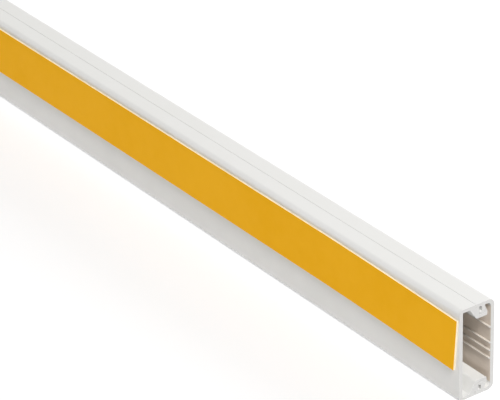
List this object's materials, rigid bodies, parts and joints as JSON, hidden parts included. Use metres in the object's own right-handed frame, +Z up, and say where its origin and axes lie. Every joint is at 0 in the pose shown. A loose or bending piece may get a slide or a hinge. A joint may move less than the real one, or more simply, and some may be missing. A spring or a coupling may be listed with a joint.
{
  "type": "cord cover raceway",
  "caption": "Straight length of rectangular surface raceway: a base channel with an adhesive strip on its back and a cover that clips and slides along its lips.",
  "frame": {"origin": "middle of the outline, on the narrow side that the raceway stands on", "axes": "+X along the length, +Y from the wall side out to the cover's face, +Z up across the section, towards the side that the adhesive strip is nearer to"},
  "size_m": [1, 0.018, 0.04],
  "materials": {
    "base_channel": "satin white rigid PVC",
    "snap_cover": "satin white rigid PVC",
    "adhesive_foam_tape": "matt cream closed-cell foam",
    "release_liner": "smooth yellow siliconised paper"
  },
  "bodies": {
    "channel": {"base_channel": "base_channel", "adhesive_foam_tape": "adhesive_foam_tape", "release_liner": "release_liner"},
    "cover": {"snap_cover": "snap_cover"}
  },
  "joints": [
    {"name": "cover_slide", "type": "slide", "parent": "channel", "child": "cover", "axis": [1, 0, 0], "range_m": [-1, 1]}
  ]
}
